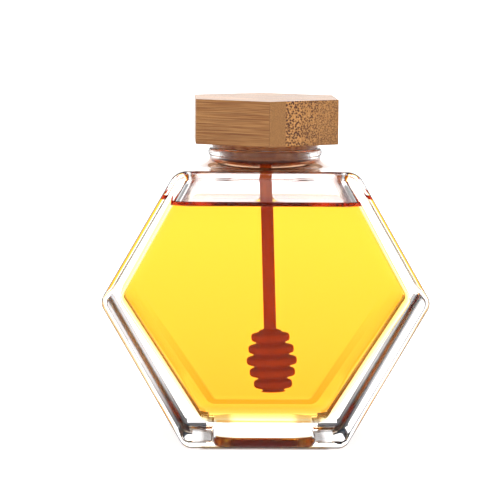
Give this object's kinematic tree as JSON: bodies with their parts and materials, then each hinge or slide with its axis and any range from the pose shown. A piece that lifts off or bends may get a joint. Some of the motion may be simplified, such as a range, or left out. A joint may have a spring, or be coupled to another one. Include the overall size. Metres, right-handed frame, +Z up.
{
  "type": "hexagonal honey jar with dipper",
  "caption": "Thick-walled hexagonal glass jar of honey with a bamboo lid on a sealed plug, and a grooved wooden dipper standing in the honey.",
  "frame": {"origin": "middle of the jar's flat base", "axes": "+Z up; -Y is the wide flat front of the jar; +X to the right seen from the front"},
  "size_m": [0.1192, 0.062, 0.127],
  "materials": {
    "glass": "clear pressed soda-lime glass, fire-polished smooth",
    "honey": "clear golden yellow liquid honey",
    "dipper_wood": "turned wood with fine grooves, dark where the honey has soaked it",
    "plug_wood": "turned wood, plain and matt",
    "silicone": "cloudy clear silicone with low ribs",
    "bamboo": "sanded laminated bamboo, long grain on some sides and end grain on the others"
  },
  "bodies": {
    "root": {"glass_jar": "glass", "honey": "honey", "dipper": "dipper_wood", "stopper": "plug_wood", "seal_ring": "silicone", "lid": "bamboo"}
  },
  "joints": []
}
